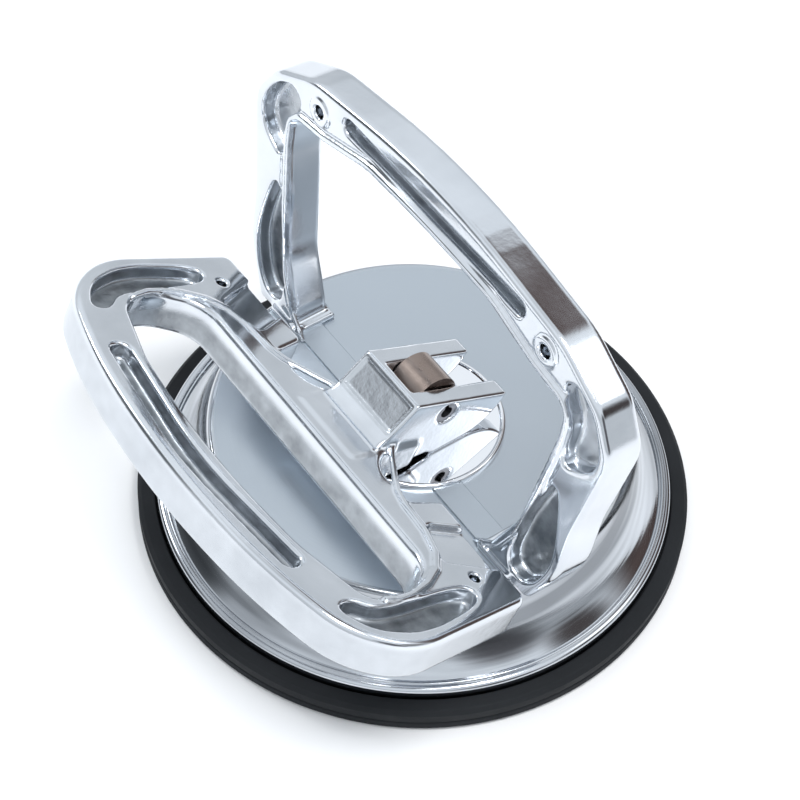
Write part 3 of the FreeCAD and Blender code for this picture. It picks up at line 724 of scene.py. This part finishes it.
PAD_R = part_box("suction_pad")[1].x / MM
PAD_SEAT_Z = 5.0
PAD_UPSTAND = 1.2
PAD_SEAT_W = 6.0
PAD_EDGE = 0.9
PAD_LIP_R = 58.0
PAD_SOFT = 0.35
PAD_SHARP = math.radians(40)
PAD_GAP = 0.3           # between the rubber and the metal in it
GROOVE_Z = 2.5          # fine groove round the rubber's side
GROOVE_HALF = 0.3
GROOVE_D = (0.15, 0.55)         # depth at its edges and in the middle
UNDER_RADII = (26.0, 34.0, 42.0, 50.0)  # round grooves in the pad's underside
UNDER_HALF = (1.0, 0.7)                 # half their width at mouth and bottom
UNDER_D = 1.0
STUD_ROOM = (8.3, 2.9, 4.5)     # radius, low and high end of the stud's pocket
PAD_INNER_R = 44.0
PLATE_BARE = 0.5        # how much of the plate stands out of the rubber
RIM_R = 56.0
RIM_H = 2.4
RIM_EDGE = 0.4
RIM_BEAD = 1.2
RIM_STEP_D = 0.5        # fine step between the bead and the flare
FLARE_FOOT_R = 53.4
FLARE_TOP_R = 44.9
FLARE_SAG = 1.7
TOP_EDGE = 1.5
TOP_T = 4.0
DISC_WALL = 2.0
HUB_R = 13.0
HUB_H = 5.0
BUSH_R = 8.5
RAIL_Y = (-8.4, -2.2)
RAIL_H = 0.5
RAIL_SOFT = 0.18
RAIL_ROOT = 0.3
RAIL_START = WEAR_R + 0.1
WEAR_T = 0.8
WEAR_GAP = 0.02
WEAR_BORE_R = 6.4
WEAR_BORE_EDGE = 0.2
WEAR_BEAD = (1.2, 0.5)  # its bead's width and rise
SPRING_R = 16.5
SPRING_TURNS = 3.5
WIRE_R = 0.8
WIRE_SIDES = 14
WIRE_STEPS = 64         # for each turn
WIRE_SHARP = math.radians(50)


def flare(offset):
    """The disc's hollow side from foot to top, or a line that far inside it."""
    foot = (FLARE_FOOT_R - offset, PAD_SEAT_Z + RIM_H + RIM_BEAD)
    top = (FLARE_TOP_R - offset, DISC_TOP_Z - TOP_EDGE)
    run, rise = foot[0] - top[0], top[1] - foot[1]
    slant = math.hypot(run, rise)
    middle = (
        (foot[0] + top[0]) / 2 - FLARE_SAG * rise / slant,
        (foot[1] + top[1]) / 2 - FLARE_SAG * run / slant,
    )
    return arc_points(foot, middle, top, 28)


def body_disc():
    """Rolled rim, hollow flare, flat top and the hub below it."""
    rim_z = PAD_SEAT_Z + RIM_H
    bead_z = rim_z + RIM_BEAD
    bead_r = RIM_R - RIM_BEAD
    round_off = TOP_EDGE * math.sqrt(0.5)
    under_z = DISC_TOP_Z - TOP_T
    hub_z = under_z - HUB_H
    inner = flare(DISC_WALL)
    profile = [
        (inner[0][0], PAD_SEAT_Z), (RIM_R - RIM_EDGE, PAD_SEAT_Z), (RIM_R, PAD_SEAT_Z + RIM_EDGE),
    ]
    profile += arc_points(
        (RIM_R, rim_z), (RIM_R - RIM_BEAD * 0.3, rim_z + RIM_BEAD * 0.7), (bead_r, bead_z), 10
    )
    profile += arc_points(
        (bead_r - 0.3, bead_z), (bead_r - 0.8, bead_z - RIM_STEP_D),
        (FLARE_FOOT_R + 0.3, bead_z), 6
    )
    profile += flare(0)
    profile += arc_points(
        (FLARE_TOP_R - 0.02, DISC_TOP_Z - TOP_EDGE + 0.05),
        (TOP_R + round_off, DISC_TOP_Z - TOP_EDGE + round_off), (TOP_R, DISC_TOP_Z), 8
    )
    profile += [
        (BUSH_R, DISC_TOP_Z), (BUSH_R, hub_z), (HUB_R, hub_z), (HUB_R, under_z),
        (inner[-1][0], under_z),
    ]
    profile += list(reversed(inner))
    disc = turned("disc_casting", profile)
    add_rails(disc)
    return disc


def add_rails(disc):
    """Low rails on the disc's top, from the wear disc to the plinths."""
    mesh = disc.data
    points = [tuple(v.co) for v in mesh.vertices]
    faces = [tuple(p.vertices) for p in mesh.polygons]
    near, far = RAIL_Y
    root, top = DISC_TOP_Z - RAIL_ROOT, DISC_TOP_Z + RAIL_H
    rows = [
        (near, root), (near, top - RAIL_SOFT), (near + RAIL_SOFT, top),
        (far - RAIL_SOFT, top), (far, top - RAIL_SOFT), (far, root),
    ]
    for side in (-1, 1):
        first = len(points)
        for end in (0, 1):
            for y, z in rows:
                x = PLINTH_U if end else math.sqrt(RAIL_START ** 2 - y * y)
                points.append((side * x * MM, y * MM, z * MM))
        count = len(rows)
        for i in range(count):
            j = (i + 1) % count
            quad = (first + i, first + j, first + count + j, first + count + i)
            faces.append(quad if side > 0 else quad[::-1])
        near_cap = tuple(range(first + count - 1, first - 1, -1))
        far_cap = tuple(range(first + count, first + 2 * count))
        faces += [cap if side > 0 else cap[::-1] for cap in (near_cap, far_cap)]
    mesh.clear_geometry()
    mesh.from_pydata(points, [], faces)
    mesh.polygons.foreach_set("use_smooth", [True] * len(faces))
    mesh.set_sharp_from_angle(angle=SHARP)


def suction_pad():
    """Rubber pad: grooved underside and side, collar, seat and stud pocket."""
    plate_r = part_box("pad_plate")[1].x / MM + PAD_GAP
    plate_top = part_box("pad_plate")[1].z / MM - PLATE_BARE
    collar_z = PAD_SEAT_Z + PAD_UPSTAND
    rim = RIM_R + PAD_GAP
    seat_end = (rim - PAD_SEAT_W, PAD_SEAT_Z)
    mouth, bottom = UNDER_HALF
    under = [(0, 0)]
    for radius in UNDER_RADII:
        under += [(radius - mouth, 0), (radius - bottom, UNDER_D)]
        under += [(radius + bottom, UNDER_D), (radius + mouth, 0)]
    shallow, deep = GROOVE_D
    wall = soften([
        (PAD_LIP_R, 0), (PAD_R - 0.5, 0), (PAD_R, PAD_EDGE),
        (PAD_R - shallow, GROOVE_Z - GROOVE_HALF), (PAD_R - deep, GROOVE_Z),
        (PAD_R - shallow, GROOVE_Z + GROOVE_HALF), (PAD_R, collar_z - PAD_EDGE),
        (PAD_R - PAD_EDGE, collar_z), (rim, collar_z), (rim, PAD_SEAT_Z), seat_end,
    ], PAD_SOFT)[1:-1]
    stud_r, stud_low, stud_high = STUD_ROOM
    inside = [
        (PAD_INNER_R, plate_top), (plate_r, plate_top), (plate_r, stud_high),
        (stud_r, stud_high), (stud_r, stud_low), (0, stud_low),
    ]
    return turned("pad_rubber", under + wall + [seat_end] + inside, PAD_SHARP)


def wear_disc():
    """Thin disc with a bead round its edge, seen through the fork."""
    root, top = DISC_TOP_Z + WEAR_GAP, DISC_TOP_Z + WEAR_T
    width, rise = WEAR_BEAD
    bead = arc_points(
        (WEAR_R, top), (WEAR_R - width / 2, top + rise), (WEAR_R - width, top), 10
    )
    bore = [(WEAR_BORE_R + WEAR_BORE_EDGE, top), (WEAR_BORE_R, top - WEAR_BORE_EDGE)]
    return turned("wear_plate", [(WEAR_BORE_R, root), (WEAR_R, root)] + bead + bore)


def return_spring():
    """Coil of round wire, capped where it is cut."""
    low, high = (corner.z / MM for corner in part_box("return_spring"))
    low, high = low + WIRE_R, high - WIRE_R
    points, faces = [], []
    count = round(SPRING_TURNS * WIRE_STEPS)
    for i in range(count + 1):
        t = 2 * math.pi * SPRING_TURNS * i / count
        z = low + (high - low) * i / count
        for k in range(WIRE_SIDES):
            a = 2 * math.pi * k / WIRE_SIDES
            radius = SPRING_R + WIRE_R * math.cos(a)
            points.append((radius * math.cos(t), radius * math.sin(t), z + WIRE_R * math.sin(a)))
    for i in range(count):
        for k in range(WIRE_SIDES):
            a, b = i * WIRE_SIDES + k, i * WIRE_SIDES + (k + 1) % WIRE_SIDES
            faces.append((a, b, b + WIRE_SIDES, a + WIRE_SIDES)[::-1])
    last = count * WIRE_SIDES
    faces.append(tuple(range(WIRE_SIDES)))
    faces.append(tuple(range(last + WIRE_SIDES - 1, last - 1, -1)))
    obj = mesh_object("spring_coil", points, faces)
    obj.data.set_sharp_from_angle(angle=WIRE_SHARP)
    return obj


# ---- materials -----------------------------------------------------------------------

MIX_FIRST, MIX_SECOND, MIX_RESULT = 6, 7, 2     # a Mix node's colour sockets


class Nodes:
    """Short way to build a node material."""

    def __init__(self, name):
        self.material = bpy.data.materials.new(name)
        self.material.use_nodes = True
        self.tree = self.material.node_tree
        self.shader = self.tree.nodes["Principled BSDF"]
        self.where = self.add("ShaderNodeTexCoord").outputs["Object"]

    def add(self, kind, **values):
        node = self.tree.nodes.new(kind)
        for key, value in values.items():
            setattr(node, key, value)
        return node

    def link(self, source, target):
        self.tree.links.new(source, target)

    def set(self, **values):
        for key, value in values.items():
            self.shader.inputs[key.replace("_", " ")].default_value = value

    def noise(self, scale, detail=3.0, vector=None, roughness=0.5):
        node = self.add("ShaderNodeTexNoise")
        node.inputs["Scale"].default_value = scale
        node.inputs["Detail"].default_value = detail
        node.inputs["Roughness"].default_value = roughness
        self.link(vector or self.where, node.inputs["Vector"])
        return node.outputs["Fac"]

    def ramp(self, source, low, high, out_low, out_high):
        node = self.add("ShaderNodeMapRange")
        node.inputs["From Min"].default_value = low
        node.inputs["From Max"].default_value = high
        node.inputs["To Min"].default_value = out_low
        node.inputs["To Max"].default_value = out_high
        self.link(source, node.inputs["Value"])
        return node.outputs["Result"]

    def mix(self, factor, first, second):
        node = self.add("ShaderNodeMix", data_type="RGBA")
        self.link(factor, node.inputs["Factor"])
        for index, value in ((MIX_FIRST, first), (MIX_SECOND, second)):
            if isinstance(value, tuple):
                node.inputs[index].default_value = (*value, 1)
            else:
                self.link(value, node.inputs[index])
        return node.outputs[MIX_RESULT]

    def sum(self, first, second, operation="ADD"):
        node = self.add("ShaderNodeMath", operation=operation)
        for socket, value in zip(node.inputs, (first, second)):
            if isinstance(value, (int, float)):
                socket.default_value = value
            else:
                self.link(value, socket)
        return node.outputs[0]

    def bump(self, height, strength, distance):
        node = self.add("ShaderNodeBump")
        node.inputs["Strength"].default_value = strength
        node.inputs["Distance"].default_value = distance
        self.link(height, node.inputs["Height"])
        self.link(node.outputs["Normal"], self.shader.inputs["Normal"])


def polished_casting():
    """Bright buffed aluminium, with a duller, greyer cast skin and painted shade in the pockets and down the
    walls.
    """
    m = Nodes("polished_casting")
    m.set(Metallic=1.0)
    # pocket: how much painted shade and cast skin a point gets
    pocket = m.add("ShaderNodeAttribute", attribute_name="pocket").outputs["Fac"]
    cloud = m.noise(55.0, 4.0)
    fine = m.noise(900.0, 2.0)
    bright = m.mix(m.ramp(cloud, 0.35, 0.65, 0.0, 1.0), (0.66, 0.69, 0.73), (0.76, 0.79, 0.83))
    spots = m.ramp(m.noise(260.0, 5.0), 0.3, 0.7, 0.0, 1.0)
    # grey cast skin, darkened further as painted shade
    cast = m.mix(spots, (0.16, 0.175, 0.19), (0.36, 0.385, 0.41))
    m.link(m.mix(pocket, bright, cast), m.shader.inputs["Base Color"])
    open_rough = m.ramp(cloud, 0.3, 0.7, 0.07, 0.2)
    rough = m.sum(open_rough, m.sum(pocket, 0.26, "MULTIPLY"))
    m.link(rough, m.shader.inputs["Roughness"])
    buffed = m.sum(m.noise(28.0, 2.0), m.sum(fine, 0.03, "MULTIPLY"))
    grain = m.sum(m.noise(620.0, 4.0), pocket, "MULTIPLY")
    m.bump(m.sum(buffed, m.sum(grain, 0.5, "MULTIPLY")), 0.35, 0.0009)
    return m.material


def disc_metal():
    """Satin top, mirror flare and rim with painted reflection streaks, and faint turning lines."""
    m = Nodes("disc_metal")
    m.set(Metallic=1.0)
    parts = m.add("ShaderNodeSeparateXYZ")
    m.link(m.where, parts.inputs[0])
    square = m.sum(m.sum(parts.outputs[0], parts.outputs[0], "MULTIPLY"),
                   m.sum(parts.outputs[1], parts.outputs[1], "MULTIPLY"))
    radius = m.sum(square, 0.5, "POWER")
    top = m.ramp(radius, (TOP_R + 0.4) * MM, (TOP_R - 0.3) * MM, 0.0, 1.0)
    cloud = m.noise(30.0, 4.0)
    satin = m.mix(cloud, (0.50, 0.55, 0.60), (0.54, 0.59, 0.64))
    # painted reflections: dark and bright rings round the flare and rim
    stretch = m.add("ShaderNodeVectorMath", operation="MULTIPLY")
    stretch.inputs[1].default_value = (14.0, 14.0, 260.0)
    m.link(m.where, stretch.inputs[0])
    painted_reflections = m.ramp(m.noise(1.0, 2.0, stretch.outputs[0]), 0.36, 0.62, 0.0, 1.0)
    bright = m.mix(painted_reflections, (0.24, 0.255, 0.275), (0.68, 0.71, 0.75))
    m.link(m.mix(top, bright, satin), m.shader.inputs["Base Color"])
    rough = m.sum(m.ramp(cloud, 0.3, 0.7, 0.06, 0.13), m.sum(top, 0.24, "MULTIPLY"))
    m.link(rough, m.shader.inputs["Roughness"])
    rings = m.add("ShaderNodeCombineXYZ")
    m.link(radius, rings.inputs[0])
    lines = m.noise(1800.0, 3.0, rings.outputs[0])
    m.bump(m.sum(m.sum(lines, 0.15, "MULTIPLY"), m.noise(18.0, 2.0)), 0.25, 0.0006)
    return m.material


def mirror_steel():
    """Bright polished steel of the disc under the cam."""
    m = Nodes("mirror_steel")
    m.set(Metallic=1.0)
    cloud = m.noise(40.0, 3.0)
    m.link(m.mix(cloud, (0.84, 0.85, 0.88), (0.92, 0.93, 0.95)), m.shader.inputs["Base Color"])
    m.link(m.ramp(cloud, 0.3, 0.7, 0.02, 0.06), m.shader.inputs["Roughness"])
    m.bump(m.noise(90.0, 2.0), 0.08, 0.0003)
    return m.material


def rubber():
    """Black rubber with a soft, uneven sheen."""
    m = Nodes("rubber_black")
    black = m.mix(m.noise(45.0, 4.0), (0.013, 0.0145, 0.0165), (0.026, 0.028, 0.031))
    m.link(black, m.shader.inputs["Base Color"])
    m.link(m.ramp(m.noise(160.0, 3.0), 0.3, 0.7, 0.5, 0.68), m.shader.inputs["Roughness"])
    m.set(Specular_IOR_Level=0.2, IOR=1.3)
    m.bump(m.noise(1400.0, 3.0), 0.2, 0.0002)
    return m.material


def plain_steel(name, dark, light, rough):
    """Zinc, bronze, rod or spring steel, told apart by two colours and a finish."""
    m = Nodes(name)
    m.set(Metallic=1.0)
    cloud = m.noise(120.0, 4.0)
    m.link(m.mix(cloud, dark, light), m.shader.inputs["Base Color"])
    m.link(m.ramp(cloud, 0.3, 0.7, rough, rough + 0.15), m.shader.inputs["Roughness"])
    m.bump(m.noise(900.0, 3.0), 0.15, 0.0002)
    return m.material


# ---- pieces onto bodies --------------------------------------------------------------

def place(obj, node, slot, material):
    """Puts a rigid piece on its node's body and in the node's place."""
    obj.data.materials.append(material)
    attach(obj, node_body(node))
    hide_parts(node)


def node_body(node):
    """Body that carries a CAD node."""
    for body, members in frame["record"]["behaviour"]["bodies"].items():
        if node in members:
            return body


def repaint(node, material):
    """Gives a CAD node that stays in view its material."""
    obj = frame["nodes"][node]
    if not obj.material_slots:
        obj.data.materials.append(material)
    for own in obj.material_slots:
        own.material = material


casting = polished_casting()
steel = plain_steel("zinc_steel", (0.42, 0.42, 0.44), (0.60, 0.60, 0.62), 0.25)
spring_steel = plain_steel("spring_steel", (0.22, 0.22, 0.24), (0.36, 0.36, 0.38), 0.3)
bronze = plain_steel("bronze", (0.42, 0.27, 0.12), (0.60, 0.42, 0.22), 0.25)

place(suction_pad(), "suction_pad", "rubber_black", rubber())
place(body_disc(), "body_disc", "polished_aluminium", disc_metal())
place(wear_disc(), "wear_disc", "mirror_steel", mirror_steel())
place(operating_lever(), "operating_lever", "polished_aluminium", casting)
place(fixed_handle(), "fixed_handle", "polished_aluminium", casting)
for node in ("pad_plate", "pad_stud", "lock_nut", "screw_washers", "handle_screws"):
    repaint(node, steel)
repaint("lift_rod", plain_steel("rod_steel", (0.20, 0.15, 0.13), (0.42, 0.35, 0.31), 0.22))
coil = return_spring()
coil.data.materials.append(spring_steel)
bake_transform(coil)
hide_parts("return_spring")
repaint("cross_pin", spring_steel)
repaint("guide_bush", bronze)


# ---- floor, light, camera ------------------------------------------------------------

FLOOR_HALF = 3.0
FLOOR_DROP = 0.0002     # keeps the floor clear of the pad's underside


def floor():
    """White floor, far larger than the picture."""
    half = FLOOR_HALF
    corners = [(-half, -half, 0), (half, -half, 0), (half, half, 0), (-half, half, 0)]
    mesh = bpy.data.meshes.new("floor")
    mesh.from_pydata(corners, [], [(0, 1, 2, 3)])
    obj = bpy.data.objects.new("floor", mesh)
    bpy.context.scene.collection.objects.link(obj)
    obj.location.z = -FLOOR_DROP
    m = Nodes("floor_white")
    m.set(Roughness=0.9)
    white = m.mix(m.noise(3.0), (0.96, 0.96, 0.965), (0.98, 0.98, 0.985))
    m.link(white, m.shader.inputs["Base Color"])
    obj.data.materials.append(m.material)


def softbox(name, spot, aim, size, power, colour=(1, 1, 1)):
    """Rectangular lamp at a spot, turned towards what it lights."""
    lamp = bpy.data.lights.new(name, "AREA")
    lamp.shape = "RECTANGLE"
    lamp.size, lamp.size_y = size
    lamp.energy = power
    lamp.color = colour
    obj = bpy.data.objects.new(name, lamp)
    bpy.context.scene.collection.objects.link(obj)
    obj.location = spot
    obj.rotation_euler = (Vector(aim) - Vector(spot)).to_track_quat("-Z", "Y").to_euler()


# brightness of the studio from the horizon (0) up to overhead (1)
SKY_STOPS = [
    (0.0, 0.70), (0.12, 0.74), (0.3, 0.70), (0.45, 0.90), (0.7, 1.0), (0.85, 0.96), (1.0, 0.7),
]
SKY_TINT = (0.95, 1.0, 1.05)

# azimuth and elevation in degrees, half angles of core and edge, light
PATCHES = [
    (78, 10, 16, 34, (0.10, 0.075, 0.07)),
    (-135, 18, 10, 26, (0.14, 0.15, 0.16)),
    (0, 14, 5, 22, (0.13, 0.13, 0.14)),
    (33, 22, 5, 17, (0.07, 0.06, 0.06)),
    (109, 54, 7, 13, (0.11, 0.08, 0.075)),
    (58, 49, 8, 13, (2.2, 2.25, 2.3)),
]


def surroundings():
    """Studio walls: a gradient from horizon to zenith with flags and a window."""
    world = bpy.data.worlds.new("studio")
    bpy.context.scene.world = world
    world.use_nodes = True
    tree = world.node_tree
    sky = tree.nodes["Background"]
    where = tree.nodes.new("ShaderNodeTexCoord").outputs["Generated"]
    split = tree.nodes.new("ShaderNodeSeparateXYZ")
    ramp = tree.nodes.new("ShaderNodeValToRGB")
    tree.links.new(where, split.inputs[0])
    tree.links.new(split.outputs[2], ramp.inputs[0])
    ramp.color_ramp.interpolation = "EASE"
    while len(ramp.color_ramp.elements) < len(SKY_STOPS):
        ramp.color_ramp.elements.new(0.5)
    for element, (at, value) in zip(ramp.color_ramp.elements, SKY_STOPS):
        element.position = at
        element.color = (*(value * tint for tint in SKY_TINT), 1)
    colour = ramp.outputs[0]
    for azimuth, elevation, core, edge, light in PATCHES:
        turn, rise = math.radians(azimuth), math.radians(elevation)
        facing = tree.nodes.new("ShaderNodeVectorMath")
        facing.operation = "DOT_PRODUCT"
        facing.inputs[1].default_value = (
            math.cos(turn) * math.cos(rise), math.sin(turn) * math.cos(rise), math.sin(rise),
        )
        tree.links.new(where, facing.inputs[0])
        inside = tree.nodes.new("ShaderNodeMapRange")
        inside.interpolation_type = "SMOOTHSTEP"
        inside.inputs["From Min"].default_value = math.cos(math.radians(edge))
        inside.inputs["From Max"].default_value = math.cos(math.radians(core))
        tree.links.new(facing.outputs["Value"], inside.inputs["Value"])
        blend = tree.nodes.new("ShaderNodeMix")
        blend.data_type = "RGBA"
        blend.clamp_result = False
        tree.links.new(inside.outputs["Result"], blend.inputs["Factor"])
        tree.links.new(colour, blend.inputs[MIX_FIRST])
        blend.inputs[MIX_SECOND].default_value = (*light, 1)
        colour = blend.outputs[MIX_RESULT]
    tree.links.new(colour, sky.inputs[0])


CAMERA_AZIMUTH = math.radians(50.0)
CAMERA_ELEVATION = math.radians(53.1)
CAMERA_DISTANCE = 0.5
CAMERA_ROLL = math.radians(5.25)
CAMERA_LENS = 104.4
CAMERA_SENSOR = 36.0
CAMERA_CLIP = 0.01
TARGET = Vector((0, 0, 0.014))
OFF_AXIS = (math.radians(-0.39), math.radians(1.33))    # the target from the picture's middle


def camera():
    """Camera that looks down on the target, rolled and panned a little."""
    back = Vector((
        math.sin(CAMERA_AZIMUTH) * math.cos(CAMERA_ELEVATION),
        -math.cos(CAMERA_AZIMUTH) * math.cos(CAMERA_ELEVATION),
        math.sin(CAMERA_ELEVATION),
    ))
    data = bpy.data.cameras.new("camera")
    data.sensor_width = CAMERA_SENSOR
    data.lens = CAMERA_LENS
    data.clip_start = CAMERA_CLIP
    obj = bpy.data.objects.new("camera", data)
    bpy.context.scene.collection.objects.link(obj)
    turn = (-back).to_track_quat("-Z", "Y").to_matrix()
    roll = Matrix.Rotation(CAMERA_ROLL, 3, "Z")
    pan = Matrix.Rotation(-OFF_AXIS[0], 3, "Y") @ Matrix.Rotation(OFF_AXIS[1], 3, "X")
    stand = Matrix.Translation(TARGET + back * CAMERA_DISTANCE)
    obj.matrix_world = stand @ (turn @ roll @ pan).to_4x4()
    bpy.context.scene.camera = obj


floor()
surroundings()
LIT_SPOT = (0, 0, 0.03)
softbox("key", (0.30, -0.05, 1.15), LIT_SPOT, (0.55, 0.40), 7.0)
softbox("fill", (-0.9, -0.35, 0.75), LIT_SPOT, (0.25, 0.5), 3.0, (0.95, 0.98, 1.0))
camera()
bpy.context.scene.view_settings.view_transform = "Standard"
